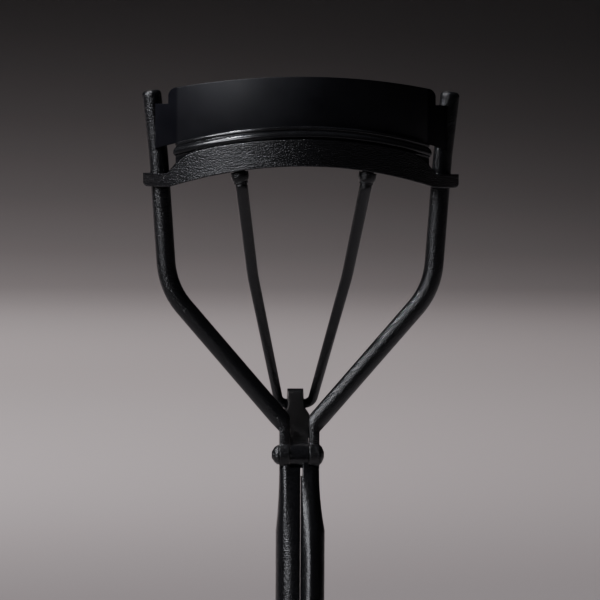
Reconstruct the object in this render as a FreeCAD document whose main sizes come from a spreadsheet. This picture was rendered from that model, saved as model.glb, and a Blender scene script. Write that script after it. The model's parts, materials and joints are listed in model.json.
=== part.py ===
"""Eyelash curler: a wire frame with a curved upper plate, a sliding lower jaw with a rubber pad,
two push rods, and two finger-ring handles that turn on one rivet.

Millimetres. +Z is up along the arms, -Y is towards the convex front of the jaws, and +X is to the
right as seen from that front. The sketches are drawn about the rivet's axis, and every piece is
then lifted so that the origin lies under the middle of the part at the lowest point of the rings.
"""
import FreeCAD
import Part
import Sketcher
import os

SIZES = [
    # finger rings and shanks
    ("ring_bore_radius", 10.8),
    ("ring_drop", 38.5),
    ("ring_bore_round", 0.6),
    ("slit_round", 0.25),
    ("handle_depth", 3.2),
    ("handle_width", 3.34),
    ("handle_slit", 0.12),
    ("handle_round", 1.1),
    ("crotch_round", 4.0),
    ("neck_width", 2.71),
    ("flare_length", 8.5),
    ("relief_slit", 0.2),
    ("relief_height", 1.1),
    ("handle_offset", 0.19),
    ("saddle_height", 1.6),
    # pivot
    ("boss_radius", 1.85),
    ("boss_width", 2.6),
    ("boss_clearance", 0.12),
    ("cheek_thickness", 1.4),
    ("cheek_clearance", 0.07),
    ("eye_radius", 2.0),
    ("rivet_radius", 0.8),
    ("rivet_fit", 0.01),
    ("rivet_running_fit", 0.04),
    ("head_radius", 1.35),
    ("left_head_height", 1.05),
    ("right_head_height", 0.66),
    ("head_crown_radius", 0.45),
    ("head_shoulder_radius", 1.08),
    ("head_shoulder_share", 0.6),
    ("head_rim_share", 0.25),
    # frame arms
    ("arm_diameter", 2.65),
    ("arm_top_half", 20.68),
    ("arm_top_drop", 1.9),
    ("arm_top_round", 0.6),
    ("upper_bend_half", 19.65),
    ("upper_bend_height", 41.5),
    ("upper_bend_radius", 30.0),
    ("elbow_half", 18.32),
    ("elbow_height", 23.13),
    ("elbow_radius", 10.5),
    ("neck_bend_height", 4.3),
    ("neck_bend_radius", 2.5),
    ("arm_flat_height", 3.3),
    # upper jaw plate
    ("jaw_centre_depth", 10.17),
    ("plate_thickness", 0.9),
    ("plate_bottom", 45.5),
    ("plate_height", 6.8),
    ("plate_top_radius", 100.0),
    ("plate_edge_radius", 66.0),
    ("plate_corner_radius", 1.2),
    ("tab_drop", 2.05),
    ("tab_length", 1.95),
    # lower jaw bar
    ("bar_width", 4.2),
    ("bar_wall", 0.7),
    ("bar_floor", 1.1),
    ("bar_top", 43.85),
    ("bar_top_radius", 65.0),
    ("bar_bottom", 40.2),
    ("bar_bottom_radius", 57.0),
    ("shoulder_start_half", 13.5),
    ("shoulder_half", 16.0),
    ("shoulder_radius", 6.0),
    ("eyelet_step_half", 18.4),
    ("eyelet_step_radius", 1.2),
    ("eyelet_top", 39.0),
    ("eyelet_bottom", 37.2),
    ("eyelet_wall", 0.9),
    ("eyelet_clearance", 0.15),
    ("eyelet_corner_radius", 1.6),
    ("eyelet_edge_radius", 0.6),
    ("jaw_travel", 8.0),
    # pad
    ("pad_side_clearance", 0.05),
    ("pad_half_angle", 46.5),
    ("pad_end_angle", 0.3),
    ("pad_plate_gap", 0.1),
    ("pad_round", 0.8),
    # push rods and collars
    ("rod_top_half", 8.75),
    ("rod_bend_half", 6.5),
    ("rod_bend_height", 25.0),
    ("rod_bend_radius", 25.0),
    ("rod_foot_half", 2.27),
    ("rod_foot_radius", 1.3),
    ("rod_end_half", 0.2),
    ("rod_top_diameter", 1.66),
    ("rod_foot_diameter", 1.3),
    ("rod_neck_diameter", 1.62),
    ("rod_hole_clearance", 0.15),
    ("rod_head_radius", 1.12),
    ("rod_head_height", 0.6),
    ("rod_head_gap", 0.3),
    ("rod_head_room", 0.35),
    ("rod_neck_length", 0.35),
    ("collar_radius", 1.2),
    ("collar_foot_radius", 0.96),
    ("collar_bulge_radius", 1.6),
    ("collar_lip", 0.16),
    ("collar_groove", 0.06),
    ("collar_height", 1.6),
    ("collar_shoulder_height", 1.12),
    ("collar_gap", 0.16),
    ("collar_bore_clearance", 0.02),
    # lever of the moving handle
    ("hook_depth", 7.75),
    ("hook_height", 6.6),
    ("lever_root_radius", 1.5),
    ("lever_tip_radius", 2.1),
    ("lever_tip_width", 2.22),
    ("link_offset", -0.3),
    ("heel_half_width", 1.9),
    ("heel_height", 2.2),
    ("heel_setback", 1.65),
    ("lever_shoulder_height", 5.3),
    ("lever_shoulder_run", 1.0),
    ("lever_shoulder_round", 0.7),
    ("lever_slot_width", 1.7),
    ("lever_slot_length", 2.7),
]

# Sizes that follow from the ones above: the plate's top, the arms' tops beside it, how far out the
# arms stand at the plate's tabs, where the tabs begin and end, and the jaws' radius through them
DERIVED = [
    ("plate_top", "plate_bottom + plate_height"),
    ("arm_top_height", "plate_top - arm_top_drop"),
    ("top_slope", "(arm_top_half - upper_bend_half) / (arm_top_height - upper_bend_height)"),
    ("tab_half", "upper_bend_half + (plate_bottom + plate_height / 4 - upper_bend_height) * top_slope"),
    ("plate_half_width", "tab_half - tab_length"),
    ("plate_end_drop", "plate_top_radius - sqrt(plate_top_radius ^ 2 - plate_half_width ^ 2)"),
    ("tab_top", "plate_top - plate_end_drop - tab_drop"),
    ("jaw_radius", "sqrt(tab_half ^ 2 + jaw_centre_depth ^ 2)"),
]

doc = FreeCAD.newDocument("eyelash_curler")
sheet = doc.addObject("Spreadsheet::Sheet", "Sizes")
for row, (name, size) in enumerate(SIZES, start=1):
    sheet.set("A%d" % row, str(size))
    sheet.setAlias("A%d" % row, name)
for row, (name, formula) in enumerate(DERIVED, start=len(SIZES) + 1):
    sheet.set("A%d" % row, "=" + formula)
    sheet.setAlias("A%d" % row, name)
doc.recompute()
gauge = doc.addObject("App::FeaturePython", "Gauge")
gauge.addProperty("App::PropertyFloat", "Reading")


def sized(formula):
    """Write out a formula over the sheet's sizes, in which @name stands for a size."""
    return "(" + formula.replace("@", "Sizes.") + ")"


# Places that several pieces share, as formulas over the sheet
LIFT = sized("@ring_drop + @ring_bore_radius + @handle_depth")
SHANK_INNER = sized("@handle_slit / 2")
SHANK_OUTER = sized("@handle_slit / 2 + @handle_width")
SHANK_REACH = sized("2 * @handle_width")
NECK_OUTER = sized("@handle_slit / 2 + @neck_width")
SHANK_TOP = sized("@boss_radius + @boss_clearance")
CHEEK_INNER = sized("@boss_width / 2 + @cheek_clearance")
CHEEK_OUTER = CHEEK_INNER + " + " + sized("@cheek_thickness")
CHEEK_MIDDLE = CHEEK_INNER + " + " + sized("@cheek_thickness / 2")
RING_CENTRE = sized("@ring_bore_radius + @handle_depth / 2")


def arch_drop(radius, half):
    """How far an arch of that radius has fallen at a distance from its crown."""
    return "({0} - sqrt({0}^2 - {1}^2))".format(radius, half)


def arm_half_at(height):
    """Half the spacing of the arms' centre lines at a height on their straight stretch."""
    slope = sized("(@upper_bend_half - @elbow_half) / (@upper_bend_height - @elbow_height)")
    return "(Sizes.elbow_half + (%s - Sizes.elbow_height) * %s)" % (height, slope)


EYELET_MIDDLE = sized("(@eyelet_top + @eyelet_bottom) / 2")
EYELET_HOLE_OUT = arm_half_at(EYELET_MIDDLE) + " + " + sized("@arm_diameter / 2 + @eyelet_clearance")
EYELET_HOLE_IN = (arm_half_at(sized("(@eyelet_top + @eyelet_bottom) / 2 - @jaw_travel"))
                  + " - " + sized("@arm_diameter / 2 + @eyelet_clearance"))
EYELET_OUTER = EYELET_HOLE_OUT + " + Sizes.eyelet_wall"
ROD_DEPTH = sized("@jaw_centre_depth - sqrt(@jaw_radius^2 - @rod_top_half^2)")

# Each rod's neck, collar, head and hole lie on a ray from the middle of the bar's lower arch
ARCH_CENTRE = sized("@bar_bottom - @bar_bottom_radius")
RAY_ANGLE = sized("asin(@rod_top_half / @bar_bottom_radius)")
COLLAR_REACH = sized("@bar_bottom_radius - @collar_gap - @collar_height")
ELBOW_REACH = sized("@bar_bottom_radius - @collar_gap - @collar_height - @rod_neck_length")
HEAD_REACH = sized("@bar_bottom_radius + @bar_floor + @rod_head_gap")


def on_ray(reach):
    """The distance from the middle and the height of a point on the rods' rays."""
    return "(%s * sin(%s))" % (reach, RAY_ANGLE), "(%s + %s * cos(%s))" % (ARCH_CENTRE, reach, RAY_ANGLE)


ELBOW_HALF, ROD_ELBOW = on_ray(ELBOW_REACH)
LEAN = "atan((Sizes.hook_depth - %s) / (%s - Sizes.hook_height))" % (ROD_DEPTH, ROD_ELBOW)
LEVER_ANGLE = "atan(Sizes.hook_height / Sizes.hook_depth)"
LEVER_LENGTH = "sqrt(Sizes.hook_height^2 + Sizes.hook_depth^2)"


def reading(formula):
    """Work out a formula as a number, to draw a sketch near its final shape."""
    gauge.setExpression("Reading", formula)
    gauge.recompute()
    if not gauge.isValid():
        raise ValueError("cannot work out " + formula)
    return gauge.Reading


def bind(item, **formulas):
    """Bind properties to formulas; two underscores stand for a dot in the property's path."""
    for path, formula in formulas.items():
        item.setExpression(path.replace("__", "."), formula)
    return item


def place(item, x="0", y="0", z="0"):
    """Bind where an object stands."""
    return bind(item, Placement__Base__x=x, Placement__Base__y=y, Placement__Base__z=z)


def turn(item, axis, angle):
    """Turn an object about an axis through its own base point, by a bound angle."""
    item.Placement.Rotation = FreeCAD.Rotation(FreeCAD.Vector(*axis), 1)
    return bind(item, Placement__Rotation__Angle=angle)


def box(name, x, y, z):
    """A box between formulas: each of x, y and z is a (low, high) pair."""
    item = doc.addObject("Part::Box", name)
    bind(item, Length="%s - (%s)" % (x[1], x[0]), Width="%s - (%s)" % (y[1], y[0]))
    bind(item, Height="%s - (%s)" % (z[1], z[0]))
    return place(item, x[0], y[0], z[0])


def cylinder(name, radius, length, axis="Z", x="0", y="0", z="0"):
    """A cylinder that starts at a point and runs along an axis."""
    item = doc.addObject("Part::Cylinder", name)
    bind(item, Radius=radius, Height=length)
    if axis == "X":
        item.Placement.Rotation = FreeCAD.Rotation(FreeCAD.Vector(0, 1, 0), 90)
    if axis == "Y":
        item.Placement.Rotation = FreeCAD.Rotation(FreeCAD.Vector(1, 0, 0), -90)
    return place(item, x, y, z)


def fuse(name, *pieces):
    """Join shapes into one."""
    item = doc.addObject("Part::MultiFuse", name)
    item.Shapes = list(pieces)
    item.Refine = True
    return item


def cut(name, base, tool):
    """Take a shape away from another."""
    item = doc.addObject("Part::Cut", name)
    item.Base = base
    item.Tool = tool
    item.Refine = True
    return item


def common(name, first, second):
    """Keep what two shapes share."""
    item = doc.addObject("Part::MultiCommon", name)
    item.Shapes = [first, second]
    item.Refine = True
    return item


def pin(sketch, edge, end, x, y):
    """Pin one point of a sketch to its formulas."""
    point = sketch.getPoint(edge, end)
    for kind, value, formula in (("DistanceX", point.x, x), ("DistanceY", point.y, y)):
        number = sketch.addConstraint(Sketcher.Constraint(kind, -1, 1, edge, end, value))
        sketch.setExpression("Constraints[%d]" % number, formula)


def set_radius(sketch, edge, formula):
    """Pin the radius of a sketch's arc to a formula."""
    radius = sketch.Geometry[edge].Radius
    number = sketch.addConstraint(Sketcher.Constraint("Radius", edge, radius))
    sketch.setExpression("Constraints[%d]" % number, formula)


def outline(sketch, corners, closed=True):
    """Draw edges through corners (x, y, round, arch): round is the fillet's radius at the corner, and
    arch the radius of the edge that leaves it, when that edge is an arc bulging to its left."""
    corners = [tuple(corner) + (None,) * (4 - len(corner)) for corner in corners]
    points = [FreeCAD.Vector(reading(x), reading(y), 0) for x, y, _, _ in corners]
    count = len(points) if closed else len(points) - 1
    for index in range(count):
        start, end = points[index], points[(index + 1) % len(points)]
        arch = corners[index][3]
        if arch is None:
            sketch.addGeometry(Part.LineSegment(start, end), False)
        else:
            radius = reading(arch)
            half = (end - start) / 2
            left = FreeCAD.Vector(-half.y, half.x, 0).normalize()
            rise = abs(radius) - (radius ** 2 - half.Length ** 2) ** 0.5
            middle = start + half + left * (rise if radius > 0 else -rise)
            sketch.addGeometry(Part.Arc(start, middle, end), False)
    ends = [arc_ends(sketch, index, points) for index in range(count)]
    for index in range(count if closed else count - 1):
        following = (index + 1) % count
        sketch.addConstraint(Sketcher.Constraint(
            "Coincident", index, ends[index][1], following, ends[following][0]))
    pins = []
    for index, (x, y, rounding, _) in enumerate(corners):
        edge, end = (index, ends[index][0]) if index < count else (index - 1, ends[index - 1][1])
        if rounding is not None:
            arc = sketch.GeometryCount
            sketch.fillet(edge, end, reading(rounding), True, True)
            pins.append((arc + 1, 1, x, y))
            set_radius(sketch, arc, rounding)
        else:
            pins.append((edge, end, x, y))
    for edge, end, x, y in pins:
        pin(sketch, edge, end, x, y)
    for index in range(count):
        if corners[index][3] is not None:
            set_radius(sketch, index, "abs(%s)" % corners[index][3])
    return sketch


def arc_ends(sketch, index, points):
    """Which end of a sketch's edge is its start on the way round the outline, and which its end."""
    start = sketch.getPoint(index, 1)
    if start.distanceToPoint(points[index]) < 1e-6:
        return 1, 2
    return 2, 1


def sketch_in(body, plane, name):
    """A new sketch on one of a body's own origin planes."""
    sketch = body.newObject("Sketcher::SketchObject", name)
    support = [item for item in body.Origin.OriginFeatures if item.Role == plane][0]
    sketch.AttachmentSupport = [(support, "")]
    sketch.MapMode = "FlatFace"
    return sketch


def new_body(name):
    """An empty body that features are added to."""
    return doc.addObject("PartDesign::Body", name)


def end_point(path, at_start):
    """The first or the last point of an open path that outline drew."""
    edges = [edge for edge in path.Geometry if isinstance(edge, Part.LineSegment)]
    return edges[0].StartPoint if at_start else edges[-1].EndPoint


def round_section(body, path, name, at_start, diameter):
    """A circle square to one end of a path sketch."""
    point = path.Placement.multVec(end_point(path, at_start))
    shape = path.Shape
    corner = min(range(len(shape.Vertexes)),
                 key=lambda index: shape.Vertexes[index].Point.distanceToPoint(point))
    edge = [any(vertex.Point.distanceToPoint(point) < 1e-6 for vertex in item.Vertexes)
            for item in shape.Edges].index(True)
    ring = body.newObject("Sketcher::SketchObject", name)
    ring.AttachmentSupport = [(path, "Edge%d" % (edge + 1)), (path, "Vertex%d" % (corner + 1))]
    ring.MapMode = "NormalToEdge"
    ring.addGeometry(Part.Circle(FreeCAD.Vector(0, 0, 0), FreeCAD.Vector(0, 0, 1), 1), False)
    ring.addConstraint(Sketcher.Constraint("Coincident", 0, 3, -1, 1))
    set_radius(ring, 0, "%s / 2" % diameter)
    return ring


def swept_rod(body, path, start_diameter, end_diameter=None):
    """Sweep a round section along a path sketch of the same body, tapering where the ends differ."""
    doc.recompute()
    sweep = body.newObject("PartDesign::AdditivePipe", path.Name + "_sweep")
    sweep.Profile = round_section(body, path, path.Name + "_start", True, start_diameter)
    sweep.Spine = (path, [])
    if end_diameter:
        sweep.Transformation = "Multisection"
        sweep.Sections = [round_section(body, path, path.Name + "_end", False, end_diameter)]
    return sweep


def arm_path(body, side):
    """The centre line of one frame arm, from its top down to the rivet."""
    sign = "%d * " % side
    path = sketch_in(body, "XZ_Plane", body.Name + "_path")
    corners = [
        (sign + "Sizes.arm_top_half", "Sizes.arm_top_height"),
        (sign + "Sizes.upper_bend_half", "Sizes.upper_bend_height", "Sizes.upper_bend_radius"),
        (sign + "Sizes.elbow_half", "Sizes.elbow_height", "Sizes.elbow_radius"),
        (sign + "(%s)" % CHEEK_MIDDLE, "Sizes.neck_bend_height", "Sizes.neck_bend_radius"),
        (sign + "(%s)" % CHEEK_MIDDLE, "0"),
    ]
    return outline(path, corners, closed=False)


def frame_arm(name, side):
    """A bent round rod, flattened to a cheek beside the boss and ending in an eye on the rivet."""
    body = new_body(name + "_rod")
    sweep = swept_rod(body, arm_path(body, side), "Sizes.arm_diameter")
    doc.recompute()
    top = max(body.Shape.Edges, key=lambda edge: edge.CenterOfMass.z)
    number = [edge.isSame(top) for edge in body.Shape.Edges].index(True) + 1
    crown = body.newObject("PartDesign::Fillet", name + "_crown")
    crown.Base = (sweep, ["Edge%d" % number])
    bind(crown, Radius="Sizes.arm_top_round")
    reach = sized("@arm_diameter * 2")
    low = "-%s" % reach
    if side > 0:
        inner = ("-%s" % reach, CHEEK_INNER)
    else:
        inner = ("-(%s)" % CHEEK_INNER, reach)
    inside = box(name + "_inner_flat", inner, (low, reach), (low, "Sizes.elbow_height"))
    rod = cut(name + "_flattened", body, fuse(name + "_flats", inside, outer_flat(name, side)))
    start = CHEEK_INNER if side > 0 else "-(%s)" % CHEEK_OUTER
    eye = cylinder(name + "_eye", "Sizes.eye_radius", "Sizes.cheek_thickness", "X", x=start)
    return fuse(name + "_with_eye", rod, eye)


def outer_flat(name, side):
    """The tool that flattens an arm's outer side, sloping away along the arm where it leaves the neck."""
    body = new_body(name + "_outer_flat")
    sketch = sketch_in(body, "XZ_Plane", name + "_outer_flat_sketch")
    reach = sized("@arm_diameter * 2")
    cheek = "%d * (%s)" % (side, CHEEK_OUTER)
    far = "%d * %s" % (side, reach)
    outline(sketch, [(cheek, "-" + reach), (cheek, "Sizes.arm_flat_height"),
                     (far, "Sizes.arm_flat_height + %s - (%s)" % (reach, CHEEK_OUTER)), (far, "-" + reach)])
    return slab(body, sketch, "2 * " + reach)


def rivet_hole(name, clearance):
    """The hole that a piece has for the rivet's shaft."""
    radius = sized("@rivet_radius + @%s" % clearance)
    half = sized("@handle_width * 2")
    return cylinder(name, radius, "2 * %s" % half, "X", x="-%s" % half)


def shank(name, side):
    """Half of the handle pair: a shank with a flared neck that runs into its finger ring."""
    ring_y = "%d * (%s)" % (-side, RING_CENTRE)
    half = sized("@handle_depth / 2")
    across = ordered(side, "(-Sizes.handle_width)", SHANK_REACH)
    stem = box(name + "_stem", across, ("-" + half, half), ("-Sizes.ring_drop", "0"))
    disc = cylinder(name + "_disc", sized("@ring_bore_radius + @handle_depth"),
                    SHANK_REACH + " + Sizes.handle_width", "X", x=across[0], y=ring_y, z="-Sizes.ring_drop")
    joined = fuse(name + "_outline", stem, disc)
    doc.recompute()
    crotch = rounded(name + "_crotch", joined, [(crotch_edge, "Sizes.crotch_round")])
    bore = cylinder(name + "_bore", "Sizes.ring_bore_radius", "2 * " + SHANK_REACH, "X",
                    x="-" + SHANK_REACH, y=ring_y, z="-Sizes.ring_drop")
    ring = cut(name + "_bored", crotch, bore)
    trimmed = common(name + "_trimmed", ring, front_profile(name + "_front", side))
    doc.recompute()
    inner = reading(shank_side(side, SHANK_INNER))
    bore_radius = reading("Sizes.ring_bore_radius")
    centre = FreeCAD.Vector(0, reading(ring_y), -reading("Sizes.ring_drop"))

    def in_bore(edge):
        middle = edge.valueAt((edge.FirstParameter + edge.LastParameter) / 2)
        return abs(FreeCAD.Vector(0, middle.y - centre.y, middle.z - centre.z).Length - bore_radius) < 1e-3

    def along_outer_side(edge):
        return side_edge(edge) and edge.BoundBox.Center.x * side > reading(CHEEK_OUTER) and not in_bore(edge)

    def along_inner_side(edge):
        return (side_edge(edge) and abs(edge.BoundBox.Center.x - inner) < 1e-3
                and edge.BoundBox.ZMin < -reading(SHANK_TOP) - 1 and not in_bore(edge))

    smooth = rounded(name + "_rounded", trimmed, [
        (along_outer_side, "Sizes.handle_round"),
        (lambda edge: in_bore(edge) and side_edge(edge), "Sizes.ring_bore_round"),
        (along_inner_side, "Sizes.slit_round"),
    ])
    return smooth


def shank_side(side, half):
    """Where a face of the handle pair lies across the part: the pair stands a little right of the pivot."""
    return "(%d * %s + Sizes.handle_offset)" % (side, half)


def side_edge(edge):
    """Whether an edge runs round the handle's outline rather than straight across its width."""
    return edge.Length > 1.0 and edge.BoundBox.ZLength + edge.BoundBox.YLength > 1.0


def crotch_edge(edge):
    """The inside corner where the shank meets the ring: the one edge across the width above the bore."""
    low = -reading("Sizes.ring_drop")
    straight = edge.BoundBox.XLength > 1 and edge.BoundBox.ZLength < 1e-3 and edge.BoundBox.YLength < 1e-3
    return straight and low + 1 < edge.BoundBox.Center.z < -1


def front_profile(name, side):
    """The handle's outline from the front, as a slab right through it."""
    body = new_body(name)
    sketch = sketch_in(body, "XZ_Plane", name + "_sketch")
    sign = "%d * " % side
    inner = shank_side(side, SHANK_INNER)
    outer = shank_side(side, SHANK_OUTER)
    flare = "(%s - %s %s Sizes.handle_offset)" % (SHANK_OUTER, NECK_OUTER, "-" if side < 0 else "+")
    bend = "((Sizes.flare_length^2 + {0}^2) / (2 * {0}))".format(flare)
    bottom = "-(%s + 1)" % LIFT
    corners = [
        (sign + "(%s)" % CHEEK_OUTER, "0"),
        (sign + NECK_OUTER, "-" + SHANK_TOP, None, ("" if side < 0 else "-") + bend),
        (outer, "-(%s + Sizes.flare_length)" % SHANK_TOP),
        (outer, bottom),
        (inner, bottom),
    ]
    if side < 0:
        corners += [(inner, "-Sizes.saddle_height"), (sign + "(%s)" % CHEEK_INNER, "-Sizes.saddle_height")]
        corners += [(sign + "(%s)" % CHEEK_INNER, "0")]
    else:
        corners += [(inner, "0")]
    outline(sketch, corners)
    return slab(body, sketch, "4 * " + LIFT)


def slab(body, sketch, depth):
    """Pad a sketch both ways from its plane."""
    pad = body.newObject("PartDesign::Pad", body.Name + "_pad")
    pad.Profile = sketch
    pad.SideType = "Symmetric"
    bind(pad, Length=depth)
    return body


def ordered(side, near, far):
    """The low and high end of a stretch across the part, on the right for side 1 and left for -1."""
    return (near, far) if side > 0 else ("-(%s)" % far, "-(%s)" % near)


def rounded(name, base, fillets):
    """Round edges of a shape: each fillet is a test that picks its edges and a bound radius."""
    body = new_body(name)
    body.BaseFeature = base
    doc.recompute()
    for number, (wanted, radius) in enumerate(fillets, start=1):
        previous = body.Tip
        edges = previous.Shape.Edges
        names = ["Edge%d" % index for index, edge in enumerate(edges, start=1) if wanted(edge)]
        if not names:
            raise ValueError("no edge to round in %s, fillet %d" % (name, number))
        fillet = body.newObject("PartDesign::Fillet", "%s_fillet_%d" % (name, number))
        fillet.Base = (previous, names)
        bind(fillet, Radius=radius)
        doc.recompute()
        if not fillet.isValid():
            raise ValueError("%s, fillet %d: %s" % (name, number, fillet.getStatusString()))
    return body


def drilled_arm(name, side):
    """A frame arm with its rivet hole."""
    return cut(name, frame_arm(name, side), rivet_hole(name + "_hole", "rivet_fit"))


def fixed_handle():
    """The left shank and finger ring, with a saddle at its top that is brazed to the left arm's eye."""
    saddle = cylinder("fixed_saddle", "Sizes.eye_radius", "Sizes.handle_width + Sizes.boss_width", "X",
                      x="-(Sizes.handle_width + Sizes.boss_width) - (%s)" % CHEEK_INNER)
    turning_room = cylinder("boss_turning_room", SHANK_TOP, "2 * Sizes.boss_width", "X",
                            x="-(%s)" % CHEEK_INNER)
    return cut("fixed_handle", shank("fixed_shank", -1), fuse("fixed_saddles", saddle, turning_room))


def lever():
    """The bell crank behind the boss: a link to the rods' hook, narrower at its slotted tip."""
    body = new_body("lever_web")
    sketch = sketch_in(body, "YZ_Plane", "lever_web_sketch")
    spread = "asin((Sizes.lever_tip_radius - Sizes.lever_root_radius) / %s)" % LEVER_LENGTH
    corners = []
    for radius, reach, sign in (("lever_root_radius", 0, -1), ("lever_tip_radius", 1, -1),
                                ("lever_tip_radius", 1, 1), ("lever_root_radius", 0, 1)):
        swing = "(%s + %d * (90 deg + %s))" % (LEVER_ANGLE, sign, spread)
        corners.append(("%d * Sizes.hook_depth + Sizes.%s * cos(%s)" % (reach, radius, swing),
                        "%d * Sizes.hook_height + Sizes.%s * sin(%s)" % (reach, radius, swing)))
    width = "4 * Sizes.heel_half_width"
    start = "-2 * Sizes.heel_half_width"
    web = slab(body, outline(sketch, corners), width)
    root = cylinder("lever_root", "Sizes.lever_root_radius", width, "X", x=start)
    tip = cylinder("lever_tip", "Sizes.lever_tip_radius", width, "X", x=start,
                   y="Sizes.hook_depth", z="Sizes.hook_height")
    link = common("lever_link", fuse("lever_blank", web, root, tip), lever_front())
    half = sized("@boss_width / 2")
    cheek_room = []
    for place_name, side in (("left", -1), ("right", 1)):
        cheek_room.append(box("cheek_room_" + place_name, ordered(side, half, width),
                              ("-Sizes.hook_depth", "Sizes.heel_setback"), ("0", "4 * Sizes.hook_height")))
    return cut("lever", link, fuse("lever_tools", hook_slot(), *cheek_room))


def lever_front():
    """The lever's width from the front: the boss's width at its root, then a wide heel behind the
    arms, and sloping shoulders below its narrow tip."""
    body = new_body("lever_front")
    sketch = sketch_in(body, "XZ_Plane", "lever_front_sketch")
    root = sized("@boss_width / 2")
    neck = sized("@lever_shoulder_height + @lever_shoulder_run")
    top = sized("@hook_height + 2 * @lever_tip_radius")
    low = sized("-2 * @boss_radius")
    corners = []
    for side in (1, -1):
        wide = "(%d * Sizes.heel_half_width + Sizes.link_offset)" % side
        narrow = "(%d * Sizes.lever_tip_width / 2 + Sizes.link_offset)" % side
        edge = [
            ("%d * %s" % (side, root), low),
            ("%d * %s" % (side, root), "Sizes.heel_height"),
            (wide, "Sizes.heel_height"),
            (wide, "Sizes.lever_shoulder_height", "Sizes.lever_shoulder_round"),
            (narrow, neck),
            (narrow, top),
        ]
        corners += edge if side > 0 else edge[::-1]
    outline(sketch, corners)
    return slab(body, sketch, "8 * Sizes.hook_depth")


def hook_slot():
    """The slot through the lever's tip that the rods' feet sit in, along the lever."""
    start = "-2 * Sizes.heel_half_width"
    length = "4 * Sizes.heel_half_width"
    half = sized("(@lever_slot_length - @lever_slot_width) / 2")
    radius = sized("@lever_slot_width / 2")
    ends = []
    for name, sign in (("near", -1), ("far", 1)):
        ends.append(cylinder("slot_" + name, radius, length, "X", x=start,
                             y="Sizes.hook_depth + %d * %s * cos(%s)" % (sign, half, LEVER_ANGLE),
                             z="Sizes.hook_height + %d * %s * sin(%s)" % (sign, half, LEVER_ANGLE)))
    middle = doc.addObject("Part::Box", "slot_middle")
    bind(middle, Length=length, Width="2 * " + half, Height="Sizes.lever_slot_width")
    turn(middle, (1, 0, 0), LEVER_ANGLE)
    place(middle, start,
          "Sizes.hook_depth - %s * cos(%s) + %s * sin(%s)" % (half, LEVER_ANGLE, radius, LEVER_ANGLE),
          "Sizes.hook_height - %s * sin(%s) - %s * cos(%s)" % (half, LEVER_ANGLE, radius, LEVER_ANGLE))
    return fuse("lever_slot", ends[0], middle, ends[1])


def moving_handle():
    """The boss on the rivet, the lever behind it, the right shank and its finger ring."""
    stem = shank("moving_shank", 1)
    half = sized("@boss_width / 2")
    notch = cylinder("eye_notch", sized("@eye_radius + @boss_clearance"), "Sizes.handle_width", "X", x=half)
    inner = shank_side(1, SHANK_INNER)
    relief = box("relief_slit", ("0", inner + " + Sizes.relief_slit"), ("-" + SHANK_REACH, SHANK_REACH),
                 ("-(%s + Sizes.relief_height)" % SHANK_TOP, "1"))
    notched = cut("moving_shank_notched", stem, fuse("moving_shank_notches", notch, relief))
    boss = cylinder("boss", "Sizes.boss_radius", "Sizes.boss_width", "X", x="-" + half)
    whole = fuse("moving_handle_solid", notched, boss, lever())
    return cut("moving_handle", whole, rivet_hole("moving_handle_hole", "rivet_running_fit"))


def pivot_rivet():
    """A plain shaft through both cheeks and the boss, with a domed head on each side."""
    body = new_body("pivot_rivet")
    sketch = sketch_in(body, "XZ_Plane", "pivot_rivet_sketch")
    left = "-(%s)" % CHEEK_OUTER
    right = CHEEK_OUTER
    shaft = "Sizes.rivet_radius"
    crown = "Sizes.head_crown_radius"
    outline(sketch, [
        (left + " - Sizes.left_head_height", "0"),
        (left + " - Sizes.left_head_height", crown),
        (left + " - Sizes.head_shoulder_share * Sizes.left_head_height", "Sizes.head_shoulder_radius"),
        (left + " - Sizes.head_rim_share * Sizes.left_head_height", "Sizes.head_radius"),
        (left, "Sizes.head_radius"),
        (left, shaft),
        (right, shaft),
        (right, "Sizes.head_radius"),
        (right + " + Sizes.head_rim_share * Sizes.right_head_height", "Sizes.head_radius"),
        (right + " + Sizes.head_shoulder_share * Sizes.right_head_height", "Sizes.head_shoulder_radius"),
        (right + " + Sizes.right_head_height", crown),
        (right + " + Sizes.right_head_height", "0"),
    ])
    turned = body.newObject("PartDesign::Revolution", "pivot_rivet_turned")
    turned.Profile = sketch
    turned.ReferenceAxis = (sketch, ["H_Axis"])
    turned.Angle = 360
    return body


def jaw_band(name, width, half_angle=None):
    """A vertical band of the jaws' round plan, tall enough to be cut to its front outline."""
    pieces = []
    for part, sign in (("out", 1), ("in", -1)):
        piece = cylinder("%s_%s" % (name, part), "Sizes.jaw_radius + %d * %s / 2" % (sign, width),
                         "2 * Sizes.plate_top", y="Sizes.jaw_centre_depth")
        if half_angle:
            bind(piece, Angle="2 * " + half_angle)
            turn(piece, (0, 0, 1), "270 - " + half_angle)
        pieces.append(piece)
    return cut(name, *pieces)


def arch(name, crown, radius):
    """A round slab across the jaws, whose crown stands at a height."""
    return cylinder(name, radius, "2 * Sizes.jaw_radius", "Y", y=sized("-@jaw_radius - @handle_depth"),
                    z="%s - (%s)" % (crown, radius))


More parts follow.
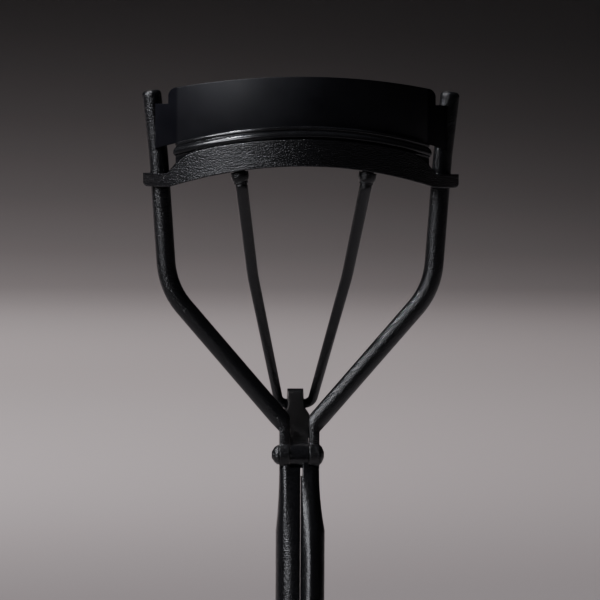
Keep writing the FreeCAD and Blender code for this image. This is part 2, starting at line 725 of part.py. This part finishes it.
def upper_jaw_plate():
    """A thin arched plate on the jaws' round plan, with a tab at each end brazed to its arm."""
    reach = sized("@arm_top_half + @arm_diameter")
    front = ("-2 * Sizes.jaw_radius", "0")
    face = box("plate_face", ("-Sizes.plate_half_width", "Sizes.plate_half_width"), front,
               ("Sizes.elbow_height", "2 * Sizes.plate_top"))
    tabs = box("plate_tabs", ("-Sizes.tab_half", "Sizes.tab_half"), front, ("Sizes.elbow_height", "Sizes.tab_top"))
    top = arch("plate_top_arch", "Sizes.plate_top", "Sizes.plate_top_radius")
    bottom = arch("plate_bottom_arch", "Sizes.plate_bottom", "Sizes.plate_edge_radius")
    shape = common("plate_front", fuse("plate_sheet", face, tabs), cut("plate_arch", top, bottom))
    band = common("plate_bent", jaw_band("plate_band", "Sizes.plate_thickness"), shape)
    seats = fuse("plate_seats", arm_tool("plate_left_seat", -1), arm_tool("plate_right_seat", 1))
    plate = cut("plate_seated", band, seats)
    doc.recompute()
    half = reading("Sizes.plate_half_width")

    def at_end(edge):
        return edge.BoundBox.XLength < 1e-3 and abs(abs(edge.Vertexes[0].X) - half) < 1e-3

    highest = max(edge.CenterOfMass.z for edge in plate.Shape.Edges if at_end(edge))

    def top_corner(edge):
        return at_end(edge) and edge.CenterOfMass.z > highest - 1e-3

    return rounded("upper_jaw_plate", plate, [(top_corner, "Sizes.plate_corner_radius")])


def arm_tool(name, side):
    """The round of an arm, to cut the saddle that the plate's tab sits on."""
    body = new_body(name)
    swept_rod(body, arm_path(body, side), "Sizes.arm_diameter")
    return body


def lower_jaw_bar():
    """An arched channel for the pad, whose ends drop to eyelets that slide on the arms."""
    blank = fuse("bar_plan", half_band("bar_half_band", "Sizes.bar_width"), eyelet("left", -1),
                 eyelet("right", 1))
    solid = common("bar_blank", blank, bar_front())
    slot = jaw_band("bar_slot_band", sized("@bar_width - 2 * @bar_wall"),
                    sized("@pad_half_angle + @pad_end_angle"))
    floor = arch("bar_slot_floor", sized("@bar_bottom + @bar_floor"),
                 sized("@bar_bottom_radius + @bar_floor"))
    channel = cut("bar_channel", slot, floor)
    tools = [channel]
    for name, side in (("left", -1), ("right", 1)):
        hole = cylinder("rod_hole_" + name, sized("@rod_neck_diameter / 2 + @rod_hole_clearance"),
                        sized("@bar_bottom_radius + 2 * @plate_top"), y=ROD_DEPTH, z=ARCH_CENTRE)
        tools.append(turn(hole, (0, side, 0), RAY_ANGLE))
        tools.append(eyelet_hole(name, side))
    return cut("lower_jaw_bar", solid, fuse("bar_tools", *tools))


def half_band(name, width):
    """The front half of a band, as far back as the arms."""
    reach = "2 * Sizes.jaw_radius"
    front = box(name + "_front", ("-" + reach, reach), ("-" + reach, "0"), ("0", "2 * Sizes.plate_top"))
    return common(name, jaw_band(name + "_ring", width), front)


def eyelet(name, side):
    """The block round an arm at one end of the bar, with round outer corners in plan."""
    half = sized("@arm_diameter / 2 + @eyelet_clearance + @eyelet_wall")
    sign = "%d * " % side
    inner = sign + "(%s - Sizes.eyelet_wall)" % EYELET_HOLE_IN
    outer = sign + "(%s)" % EYELET_OUTER
    body = new_body("eyelet_" + name)
    sketch = sketch_in(body, "XY_Plane", "eyelet_%s_sketch" % name)
    outline(sketch, [(inner, "-" + half), (outer, "-" + half, "Sizes.eyelet_corner_radius"),
                     (outer, half, "Sizes.eyelet_corner_radius"), (inner, half)])
    return slab(body, sketch, "4 * Sizes.plate_top")


def eyelet_hole(name, side):
    """The long hole that lets the leaning arms slide through as the jaw goes down."""
    radius = sized("@arm_diameter / 2 + @eyelet_clearance")
    reach = "2 * Sizes.plate_top"
    near = "%s + %s" % (EYELET_HOLE_IN, radius)
    far = "%s - %s" % (EYELET_HOLE_OUT, radius)
    sign = "%d * (%s)"
    ends = [cylinder("eyelet_hole_%s_%d" % (name, number), radius, reach, x=sign % (side, place_x))
            for number, place_x in enumerate((near, far))]
    middle = box("eyelet_hole_%s_middle" % name, ordered(side, near, far), ("-" + radius, radius),
                 ("0", reach))
    return fuse("eyelet_hole_" + name, ends[0], middle, ends[1])


def bar_front():
    """The bar's outline from the front: arched above and below, with shoulders down to the eyelets."""
    body = new_body("bar_front")
    sketch = sketch_in(body, "XZ_Plane", "bar_front_sketch")
    start = "Sizes.shoulder_start_half"
    start_z = "Sizes.bar_top - " + arch_drop("Sizes.bar_top_radius", start)
    slope = "(%s / sqrt(Sizes.bar_top_radius^2 - %s^2))" % (start, start)
    shoulder_z = "%s - (Sizes.shoulder_half - %s) * %s" % (start_z, start, slope)
    foot = "sqrt(Sizes.bar_bottom_radius^2 - (Sizes.eyelet_bottom - %s)^2)" % ARCH_CENTRE
    right = [
        ("Sizes.shoulder_half", shoulder_z, "Sizes.shoulder_radius"),
        ("Sizes.eyelet_step_half", "Sizes.eyelet_top", "Sizes.eyelet_step_radius"),
        (EYELET_OUTER, "Sizes.eyelet_top"),
        (EYELET_OUTER, "Sizes.eyelet_bottom", "Sizes.eyelet_edge_radius"),
    ]
    left = [("-(%s)" % corner[0],) + corner[1:] for corner in reversed(right)]
    corners = [("-" + start, start_z, None, "Sizes.bar_top_radius"), (start, start_z)] + right
    corners += [(foot, "Sizes.eyelet_bottom", None, "-Sizes.bar_bottom_radius"),
                ("-" + foot, "Sizes.eyelet_bottom")] + left
    outline(sketch, corners)
    return slab(body, sketch, "4 * Sizes.jaw_radius")


def jaw_pad():
    """The rubber pad: it fills the channel and stands out of it with a domed top under the plate."""
    width = sized("@bar_width - 2 * @bar_wall - 2 * @pad_side_clearance")
    band = jaw_band("pad_band", width, "Sizes.pad_half_angle")
    floor = arch("pad_floor", sized("@bar_bottom + @bar_floor"),
                 sized("@bar_bottom_radius + @bar_floor"))
    top = arch("pad_top", sized("@plate_bottom - @pad_plate_gap"),
               sized("@plate_edge_radius - @pad_plate_gap"))
    block = common("pad_block", cut("pad_on_floor", band, floor), top)
    doc.recompute()
    high = reading("Sizes.bar_bottom + Sizes.bar_floor")

    wide = reading(width)

    def long_top_edge(edge):
        return edge.BoundBox.ZMin > high and edge.Length > 2 * wide

    domed = rounded("pad_domed", block, [(long_top_edge, "Sizes.pad_round")])
    pockets = []
    for name, side in (("left", -1), ("right", 1)):
        pocket = cylinder("pad_pocket_" + name, sized("@rod_head_radius + @rod_head_room"),
                          "%s + Sizes.rod_head_height + Sizes.rod_head_room" % HEAD_REACH,
                          y=ROD_DEPTH, z=ARCH_CENTRE)
        pockets.append(turn(pocket, (0, side, 0), RAY_ANGLE))
    return cut("jaw_pad", domed, fuse("pad_pockets", *pockets))


def push_rod(name, side):
    """A peened head and a straight neck through the bar's floor, then the rod, which leans back to
    the lever and bends inwards into its slot."""
    body = new_body(name)
    elbow = "(%s)" % ROD_ELBOW
    sign = "%d * " % side
    path = sketch_in(body, "XZ_Plane", name + "_path")
    turn_back = FreeCAD.Rotation(FreeCAD.Vector(1, 0, 0), 1)
    path.AttachmentOffset = FreeCAD.Placement(FreeCAD.Vector(0, 0, 0), turn_back)
    bind(path, AttachmentOffset__Rotation__Angle=LEAN)
    span = "(%s - Sizes.hook_height) / cos(%s)" % (elbow, LEAN)
    bend = "(%s - Sizes.rod_bend_height) / cos(%s)" % (elbow, LEAN)
    outline(path, [
        (sign + "0", "0"),
        (sign + "(Sizes.rod_bend_half - %s) + Sizes.link_offset / 2" % ELBOW_HALF, "-(%s)" % bend,
         "Sizes.rod_bend_radius"),
        (sign + "(Sizes.rod_foot_half - %s) + Sizes.link_offset" % ELBOW_HALF, "-(%s)" % span,
         "Sizes.rod_foot_radius"),
        (sign + "(Sizes.rod_end_half - %s) + Sizes.link_offset" % ELBOW_HALF, "-(%s)" % span),
    ], closed=False)
    neck = sketch_in(body, "XZ_Plane", name + "_neck_sketch")
    neck.AttachmentOffset = FreeCAD.Placement(FreeCAD.Vector(0, 0, 0),
                                              FreeCAD.Rotation(FreeCAD.Vector(0, 0, -side), 1))
    bind(neck, AttachmentOffset__Rotation__Angle=RAY_ANGLE)
    head = "%s - %s" % (HEAD_REACH, ELBOW_REACH)
    outline(neck, [
        ("0", sized("-@rod_neck_diameter / 2"), None, sized("-@rod_neck_diameter / 2")),
        (sized("@rod_neck_diameter / 2"), "0"),
        (sized("@rod_neck_diameter / 2"), head),
        ("Sizes.rod_head_radius", head),
        ("Sizes.rod_head_radius", head + " + Sizes.rod_head_height / 2"),
        ("Sizes.rod_head_radius / 2", head + " + Sizes.rod_head_height"),
        ("0", head + " + Sizes.rod_head_height"),
    ])
    turned = body.newObject("PartDesign::Revolution", name + "_neck")
    turned.Profile = neck
    turned.ReferenceAxis = (neck, ["V_Axis"])
    turned.Angle = 360
    swept_rod(body, path, "Sizes.rod_top_diameter", "Sizes.rod_foot_diameter")
    return place(body, sign + ELBOW_HALF, ROD_DEPTH, "%s + %s" % (LIFT, elbow))


def rod_collar(name, side):
    """A round-shouldered barrel on the rod's neck under the bar, with a thin lip at its lower end."""
    body = new_body(name)
    sketch = sketch_in(body, "XZ_Plane", name + "_sketch")
    bore = sized("@rod_neck_diameter / 2 + @collar_bore_clearance")
    outline(sketch, [
        (bore, "0"),
        ("Sizes.collar_foot_radius", "0"),
        ("Sizes.collar_foot_radius", "Sizes.collar_lip"),
        ("Sizes.collar_foot_radius - Sizes.collar_groove", "Sizes.collar_lip + Sizes.collar_groove"),
        ("Sizes.collar_foot_radius", "Sizes.collar_lip + 2 * Sizes.collar_groove", None,
         "-Sizes.collar_bulge_radius"),
        ("Sizes.collar_radius", "Sizes.collar_shoulder_height"),
        ("Sizes.collar_radius", "Sizes.collar_height"),
        (bore, "Sizes.collar_height"),
    ])
    turned = body.newObject("PartDesign::Revolution", name + "_turned")
    turned.Profile = sketch
    turned.ReferenceAxis = (sketch, ["V_Axis"])
    turned.Angle = 360
    half, height = on_ray(COLLAR_REACH)
    turn(body, (0, side, 0), RAY_ANGLE)
    return place(body, "%d * %s" % (side, half), ROD_DEPTH, "%s + %s" % (LIFT, height))


AT_THE_RIVET = [
    drilled_arm("left_frame_arm", -1),
    drilled_arm("right_frame_arm", 1),
    fixed_handle(),
    upper_jaw_plate(),
    pivot_rivet(),
    moving_handle(),
    lower_jaw_bar(),
    jaw_pad(),
]
ALONG_THE_RODS = [
    push_rod("push_rod_left", -1),
    push_rod("push_rod_right", 1),
    rod_collar("rod_collar_left", -1),
    rod_collar("rod_collar_right", 1),
]
PIECES = AT_THE_RIVET + ALONG_THE_RODS
for piece in AT_THE_RIVET:
    place(piece, z=LIFT)
doc.removeObject(gauge.Name)
doc.recompute()

for item in doc.Objects:
    if "Invalid" in item.State or "Error" in item.State:
        raise ValueError("%s did not build: %s" % (item.Name, item.getStatusString()))
os.makedirs("parts", exist_ok=True)
for piece in PIECES:
    piece.Label = piece.Name
    if piece.Shape.isNull() or not piece.Shape.isValid() or len(piece.Shape.Solids) != 1:
        raise ValueError("%s is not one valid solid" % piece.Label)
for piece in PIECES:
    piece.Shape.exportStep("parts/%s.step" % piece.Label)
    print(piece.Label, round(piece.Shape.Volume, 2))
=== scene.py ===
"""Eyelash curler: coats, the rubber jaw pad, studio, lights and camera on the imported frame."""

import json
import math

import bpy
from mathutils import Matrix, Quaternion, Vector


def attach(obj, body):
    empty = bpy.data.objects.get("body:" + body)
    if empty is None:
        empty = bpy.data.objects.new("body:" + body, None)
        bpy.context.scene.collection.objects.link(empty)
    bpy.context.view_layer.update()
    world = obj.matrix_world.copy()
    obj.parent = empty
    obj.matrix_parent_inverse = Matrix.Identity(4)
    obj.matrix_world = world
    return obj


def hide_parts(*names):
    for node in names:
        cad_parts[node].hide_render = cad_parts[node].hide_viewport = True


MM = 0.001

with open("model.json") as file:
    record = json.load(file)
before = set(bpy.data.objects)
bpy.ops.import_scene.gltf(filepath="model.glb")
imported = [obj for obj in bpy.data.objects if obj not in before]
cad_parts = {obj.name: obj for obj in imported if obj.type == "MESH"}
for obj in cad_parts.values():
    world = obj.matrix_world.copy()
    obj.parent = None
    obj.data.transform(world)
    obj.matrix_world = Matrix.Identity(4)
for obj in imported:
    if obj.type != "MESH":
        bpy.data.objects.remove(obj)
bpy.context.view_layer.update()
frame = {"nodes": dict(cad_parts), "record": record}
bpy.ops.object.select_all(action="DESELECT")

# Places from the frame's drawing, in millimetres: the jaws' round plan, the plate's arched lower
# edge, the channel's floor under the pad, and the push rods' rays through that floor
JAW_RADIUS = 22.714
JAW_CENTRE_Y = 10.17
PLATE_EDGE_Z = 98.0
PLATE_ARCH = 66.0
FLOOR_Z = 93.8
FLOOR_ARCH = 58.1
PAD_HALF_ANGLE = math.radians(46.3)
ROD_Y = -10.791
RAY_CENTRE_Z = 35.7
RAY_ANGLE = math.asin(8.75 / 57.0)
POCKET_RADIUS = 1.45
POCKET_REACH = 59.3
POCKET_DEPTH = 6.0
END_ROUNDING = 0.22

# Half the smooth width of the plate, up to its brazed tabs, in millimetres; past it the shine is
# taken off as painted shade
PLATE_HALF = 17.0
TAB_BLEND = 0.3

# Between these heights, in metres, a pressed look fades out: over the handles' necks, or nowhere
NECK_FADE = (0.038, 0.052)
NO_FADE = (0.2, 0.3)

# Grain and cloudiness, in features per metre
GRAIN = 5200
CLOUD = 160


# Finishes

def new_material(name, color, roughness, specular):
    """A material with a Principled shader."""
    material = bpy.data.materials.new(name)
    material.use_nodes = True
    shader = material.node_tree.nodes["Principled BSDF"]
    shader.inputs["Base Color"].default_value = (*color, 1)
    shader.inputs["Roughness"].default_value = roughness
    shader.inputs["Specular IOR Level"].default_value = specular
    return material


def object_noise(material, scale, detail=2.0, roughness=0.5):
    """A noise on the piece's own coordinates, in features per metre."""
    nodes, links = material.node_tree.nodes, material.node_tree.links
    place = nodes.new("ShaderNodeTexCoord")
    noise = nodes.new("ShaderNodeTexNoise")
    noise.inputs["Scale"].default_value = scale
    noise.inputs["Detail"].default_value = detail
    noise.inputs["Roughness"].default_value = roughness
    links.new(place.outputs["Object"], noise.inputs["Vector"])
    return noise.outputs["Fac"]


def spread(material, source, low, high):
    """A value that runs from low[1] to high[1] while the source runs from low[0] to high[0]."""
    nodes, links = material.node_tree.nodes, material.node_tree.links
    reach = nodes.new("ShaderNodeMapRange")
    reach.inputs["From Min"].default_value = low[0]
    reach.inputs["From Max"].default_value = high[0]
    reach.inputs["To Min"].default_value = low[1]
    reach.inputs["To Max"].default_value = high[1]
    links.new(source, reach.inputs["Value"])
    return reach.outputs["Result"]


def along(material, axis):
    """The place along one axis of the piece's own coordinates, in metres."""
    nodes, links = material.node_tree.nodes, material.node_tree.links
    place = nodes.new("ShaderNodeTexCoord")
    axes = nodes.new("ShaderNodeSeparateXYZ")
    links.new(place.outputs["Object"], axes.inputs["Vector"])
    return axes.outputs[axis]


def soft_edges(material, radius):
    """Rounds the look of sharp edges by a radius in metres, for a bump to add to."""
    edge = material.node_tree.nodes.new("ShaderNodeBevel")
    edge.inputs["Radius"].default_value = radius
    edge.samples = 8
    return edge.outputs["Normal"]


def bumpy(material, height, strength, distance, under):
    """A bump over another normal, which becomes the shader's."""
    nodes, links = material.node_tree.nodes, material.node_tree.links
    bump = nodes.new("ShaderNodeBump")
    bump.inputs["Strength"].default_value = strength
    bump.inputs["Distance"].default_value = distance
    links.new(height, bump.inputs["Height"])
    links.new(under, bump.inputs["Normal"])
    links.new(bump.outputs["Normal"], nodes["Principled BSDF"].inputs["Normal"])
    return bump.outputs["Normal"]


def two_tone(material, factor, dark, light):
    """A base colour that runs between two tones."""
    nodes, links = material.node_tree.nodes, material.node_tree.links
    mix = nodes.new("ShaderNodeMix")
    mix.data_type = "RGBA"
    mix.inputs["A"].default_value = (*dark, 1)
    mix.inputs["B"].default_value = (*light, 1)
    links.new(factor, mix.inputs["Factor"])
    links.new(mix.outputs["Result"], nodes["Principled BSDF"].inputs["Base Color"])


def domed(material, axis, crest, radius, fade, under):
    """The look of metal pressed to a round face: the crest's place on one axis, the radius across
    it, and the heights between which the look fades out."""
    nodes, links = material.node_tree.nodes, material.node_tree.links
    across = nodes.new("ShaderNodeMath")
    across.operation = "SUBTRACT"
    across.inputs[1].default_value = crest
    links.new(along(material, axis), across.inputs[0])
    square = nodes.new("ShaderNodeMath")
    square.operation = "POWER"
    square.inputs[1].default_value = 2
    links.new(across.outputs["Value"], square.inputs[0])
    steepness = spread(material, along(material, "Z"), (fade[0], -0.5 / radius), (fade[1], 0.0))
    height = nodes.new("ShaderNodeMath")
    height.operation = "MULTIPLY"
    links.new(square.outputs["Value"], height.inputs[0])
    links.new(steepness, height.inputs[1])
    return bumpy(material, height.outputs["Value"], 1.0, 1.0, under)


def textured_coat(name, height, domes=()):
    """Sandy black coat: a dense raised grain, of a height in metres and about a fifth of a
    millimetre wide, over slow unevenness and over any pressed faces."""
    coat = new_material(name, (0.012, 0.012, 0.013), 0.3, 0.5)
    shader = coat.node_tree.nodes["Principled BSDF"]
    grain = object_noise(coat, GRAIN, 1.5, 0.55)
    drift = object_noise(coat, 420, 2.0)
    edges = soft_edges(coat, 0.25 * MM)
    for dome in domes:
        edges = domed(coat, *dome, edges)
    slow = bumpy(coat, drift, 0.15, 0.08 * MM, edges)
    bumpy(coat, grain, 1.0, height, slow)
    coat.node_tree.links.new(spread(coat, grain, (0.3, 0.16), (0.7, 0.26)),
                             shader.inputs["Roughness"])
    two_tone(coat, spread(coat, grain, (0.35, 0.0), (0.75, 1.0)),
             (0.003, 0.003, 0.0035), (0.008, 0.008, 0.009))
    return coat


def satin_coat():
    """Smooth satin black coat on the plate, with the faint cloudiness of handling; past its smooth
    width the shine is taken off the end tabs as painted shade, where the real tabs bend back out
    of the light."""
    coat = new_material("satin_black_coat", (0.006, 0.006, 0.008), 0.5, 0.18)
    shader = coat.node_tree.nodes["Principled BSDF"]
    links = coat.node_tree.links
    cloud = object_noise(coat, CLOUD, 3.0, 0.55)
    fine = object_noise(coat, GRAIN, 1.0)
    links.new(spread(coat, cloud, (0.3, 0.46), (0.7, 0.54)), shader.inputs["Roughness"])
    side = coat.node_tree.nodes.new("ShaderNodeMath")
    side.operation = "ABSOLUTE"
    links.new(along(coat, "X"), side.inputs[0])
    # Painted shade: past the plate's smooth width the shine drops, standing in for the shade on
    # the real tabs that bend back from the light
    painted_tab_shade = spread(coat, side.outputs["Value"],
                   (PLATE_HALF * MM, 0.18), ((PLATE_HALF + TAB_BLEND) * MM, 0.03))
    links.new(painted_tab_shade, shader.inputs["Specular IOR Level"])
    face = domed(coat, "Z", 101.5 * MM, 20 * MM, NO_FADE, soft_edges(coat, 0.2 * MM))
    bumpy(coat, fine, 0.10, 0.03 * MM, face)
    two_tone(coat, spread(coat, cloud, (0.3, 0.0), (0.7, 1.0)),
             (0.004, 0.004, 0.0055), (0.007, 0.007, 0.009))
    return coat


def glossy_rubber():
    """Moulded silicone rubber: smooth and glossy, with a slight waviness."""
    rubber = new_material("glossy_black_rubber", (0.006, 0.006, 0.0065), 0.16, 0.5)
    shader = rubber.node_tree.nodes["Principled BSDF"]
    wave = object_noise(rubber, CLOUD, 1.0)
    smear = object_noise(rubber, 700, 3.0, 0.6)
    rubber.node_tree.links.new(spread(rubber, smear, (0.3, 0.15), (0.7, 0.24)),
                               shader.inputs["Roughness"])
    bumpy(rubber, wave, 0.05, 0.05 * MM, soft_edges(rubber, 0.08 * MM))
    two_tone(rubber, spread(rubber, smear, (0.3, 0.0), (0.7, 1.0)),
             (0.005, 0.005, 0.0055), (0.008, 0.008, 0.009))
    return rubber


FINISHES = {
    "textured_black": textured_coat("textured_black_coat", 0.10 * MM),
    "satin_black": satin_coat(),
    "black_rubber": glossy_rubber(),
}
# The handles' strips are pressed round across, and bow a little along
PRESSED_STRIPS = {
    "fixed_handle": textured_coat("coated_fixed_strip", 0.04 * MM, (
        ("X", -0.6 * MM, 2.2 * MM, NECK_FADE),
        ("Z", 0.0, 400 * MM, NO_FADE))),
    "moving_handle": textured_coat("coated_moving_strip", 0.035 * MM, (
        ("X", 1.9 * MM, 1.2 * MM, NECK_FADE),
        ("Z", 0.0, 260 * MM, NO_FADE))),
}
for part in frame["record"]["subparts"]:
    node = frame["nodes"][part["node"]]
    node.data.materials.clear()
    finish = FINISHES[part["material_slot"]]
    node.data.materials.append(PRESSED_STRIPS.get(part["node"], finish))


# The rubber pad

def pad_section():
    """Half of the pad's section, from the middle of its top to its foot: how far out from the
    plate, and how high over the plate's edge, in millimetres. A groove holds the plate's edge
    between two beads, and below a fine neck the side bulges over the channel's wall."""
    groove = [(0.0, -0.12), (0.46, -0.11), (0.58, -0.06), (0.68, 0.04)]
    bead = [(0.84, 0.13), (1.05, 0.16), (1.24, 0.11), (1.36, -0.01), (1.39, -0.16), (1.33, -0.30)]
    neck = [(1.25, -0.38), (1.22, -0.43), (1.27, -0.48)]
    bulge = [(1.46, -0.56), (1.64, -0.70), (1.75, -0.90), (1.77, -1.12), (1.70, -1.33),
             (1.55, -1.49)]
    foot = [(1.40, -1.57), (1.33, -1.66), (1.32, -1.9), (1.32, -2.9), (1.30, -3.85), (1.18, -4.08)]
    return groove + bead + neck + bulge + foot


def arch_drop(radius, across):
    return radius - math.sqrt(radius ** 2 - across ** 2)


def rubber_pad():
    """The pad: its section spun on the jaws' round plan and bent to the arches, with a pocket over
    each push rod's head."""
    half = pad_section()
    ring = half + [(-out, height) for out, height in reversed(half[1:])]
    bpy.ops.mesh.primitive_circle_add(vertices=len(ring), radius=1, fill_type="NGON")
    pad = bpy.context.object
    pad.name = "rubber_pad"
    for vertex, (out, height) in zip(pad.data.vertices, ring):
        reach = JAW_RADIUS + out
        vertex.co = (-math.sin(PAD_HALF_ANGLE) * reach,
                     JAW_CENTRE_Y - math.cos(PAD_HALF_ANGLE) * reach, height)
    bpy.ops.object.mode_set(mode="EDIT")
    bpy.ops.mesh.select_all(action="SELECT")
    bpy.ops.mesh.spin(steps=72, dupli=False, angle=-2 * PAD_HALF_ANGLE, use_auto_merge=False,
                      center=(0, JAW_CENTRE_Y, 0), axis=(0, 0, 1))
    bpy.ops.mesh.select_all(action="SELECT")
    bpy.ops.mesh.normals_make_consistent(inside=False)
    bpy.ops.object.mode_set(mode="OBJECT")
    depth = PLATE_EDGE_Z - FLOOR_Z
    for vertex in pad.data.vertices:
        share = max(0.0, min(1.0, -vertex.co.z / depth))
        arch = PLATE_ARCH + (FLOOR_ARCH - PLATE_ARCH) * share
        vertex.co.z += PLATE_EDGE_Z - arch_drop(arch, vertex.co.x)
        vertex.co *= MM
    soften = pad.modifiers.new("end_rounding", "BEVEL")
    soften.width = END_ROUNDING * MM
    soften.segments = 3
    soften.limit_method = "ANGLE"
    soften.angle_limit = math.radians(50)
    bpy.ops.object.modifier_apply(modifier="end_rounding")
    for side in (-1, 1):
        ray = Vector((side * math.sin(RAY_ANGLE), 0, math.cos(RAY_ANGLE)))
        foot = Vector((0, ROD_Y, RAY_CENTRE_Z)) * MM
        middle = foot + ray * (POCKET_REACH - POCKET_DEPTH / 2) * MM
        bpy.ops.mesh.primitive_cylinder_add(vertices=48, radius=POCKET_RADIUS * MM,
                                            depth=POCKET_DEPTH * MM, location=middle)
        core = bpy.context.object
        core.rotation_euler = (0, side * RAY_ANGLE, 0)
        bpy.ops.object.select_all(action="DESELECT")
        bpy.context.view_layer.objects.active = pad
        pocket = pad.modifiers.new("rod_pocket", "BOOLEAN")
        pocket.operation = "DIFFERENCE"
        pocket.object = core
        bpy.ops.object.modifier_apply(modifier="rod_pocket")
        bpy.data.objects.remove(core)
    pad.select_set(True)
    bpy.ops.object.shade_smooth_by_angle(angle=math.radians(45))
    pad.data.materials.append(FINISHES["black_rubber"])
    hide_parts("jaw_pad")
    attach(pad, "lower_jaw")
    bpy.ops.object.select_all(action="DESELECT")


rubber_pad()


# The studio: a pale floor that sweeps up behind, soft lights and the camera

def paper_sweep():
    """Pale seamless paper: a floor that bends up into a wall far behind."""
    bpy.ops.mesh.primitive_grid_add(x_subdivisions=1, y_subdivisions=150, size=1)
    paper = bpy.context.object
    paper.name = "paper_sweep"
    width, length, bend, front, start = 30.0, 20.0, 1.2, -15.0, 1.6
    for vertex in paper.data.vertices:
        along = front + (vertex.co.y + 0.5) * length
        if along <= start:
            y, z = along, 0.0
        elif along <= start + bend * math.pi / 2:
            turn = (along - start) / bend
            y, z = start + bend * math.sin(turn), bend * (1 - math.cos(turn))
        else:
            y, z = start + bend, bend + along - start - bend * math.pi / 2
        vertex.co = (vertex.co.x * width, y, z)
    bpy.ops.object.shade_smooth()
    paper.data.materials.append(new_material("pale_paper", (0.35, 0.33, 0.33), 0.9, 0.2))


def soft_box(name, position, size, power, beam, aim=(0, 0, 0.075), color=(0.93, 0.94, 1)):
    """A rectangular area light that faces a point, with its power in watts and its beam's width in
    degrees. Unless told otherwise it is cool and faces the curler."""
    bpy.ops.object.light_add(type="AREA", location=position)
    lamp = bpy.context.object
    lamp.name = name
    lamp.data.shape = "RECTANGLE"
    lamp.data.size, lamp.data.size_y = size
    lamp.data.energy = power
    lamp.data.color = color
    lamp.data.spread = math.radians(beam)
    toward = Vector(aim) - Vector(position)
    lamp.rotation_mode = "QUATERNION"
    lamp.rotation_quaternion = toward.to_track_quat("-Z", "Y")


def front_camera():
    """A long lens in front of the curler, a touch to its left and just above the middle."""
    aim = Vector((0, 0, 0.0740))
    azimuth, elevation, distance = math.radians(-2.2), math.radians(2.7), 0.577
    back = Vector((math.sin(azimuth) * math.cos(elevation),
                   -math.cos(azimuth) * math.cos(elevation), math.sin(elevation)))
    bpy.ops.object.camera_add(location=aim + back * distance)
    camera = bpy.context.object
    camera.data.lens = 250
    camera.data.sensor_width = 36
    camera.data.clip_start, camera.data.clip_end = 0.01, 30
    camera.rotation_mode = "QUATERNION"
    level = (-back).to_track_quat("-Z", "Y")
    camera.rotation_quaternion = level @ Quaternion((0, 0, 1), math.radians(0.3))
    bpy.context.scene.camera = camera


def dim_air():
    """A faint cool light from all sides."""
    world = bpy.data.worlds.new("studio_air")
    world.use_nodes = True
    background = world.node_tree.nodes["Background"]
    background.inputs["Color"].default_value = (0.85, 0.85, 0.88, 1)
    background.inputs["Strength"].default_value = 0.035
    bpy.context.scene.world = world


paper_sweep()
JAWS = (0, 0, 0.1)
soft_box("key_light", (-0.86, -0.72, 0.38), (0.60, 0.34), 0.42, beam=36)
soft_box("side_light", (-0.91, -0.24, 0.76), (0.25, 0.25), 0.18, beam=22, aim=JAWS)
soft_box("high_light", (-0.62, -0.10, 1.00), (0.08, 0.08), 0.2, beam=24, aim=JAWS)
# These two light the floor behind the curler, and their beams end short of it
soft_box("floor_wash", (-0.4, 1.0, 1.28), (1.0, 0.5), 5.4, beam=77, aim=(-0.22, 1.0, 0),
         color=(1, 0.93, 0.94))
soft_box("floor_graze", (-0.95, 0.5, 0.45), (0.2, 0.2), 1.0, beam=48, aim=(-0.2, 0.5, 0),
         color=(1, 0.93, 0.97))
dim_air()
front_camera()
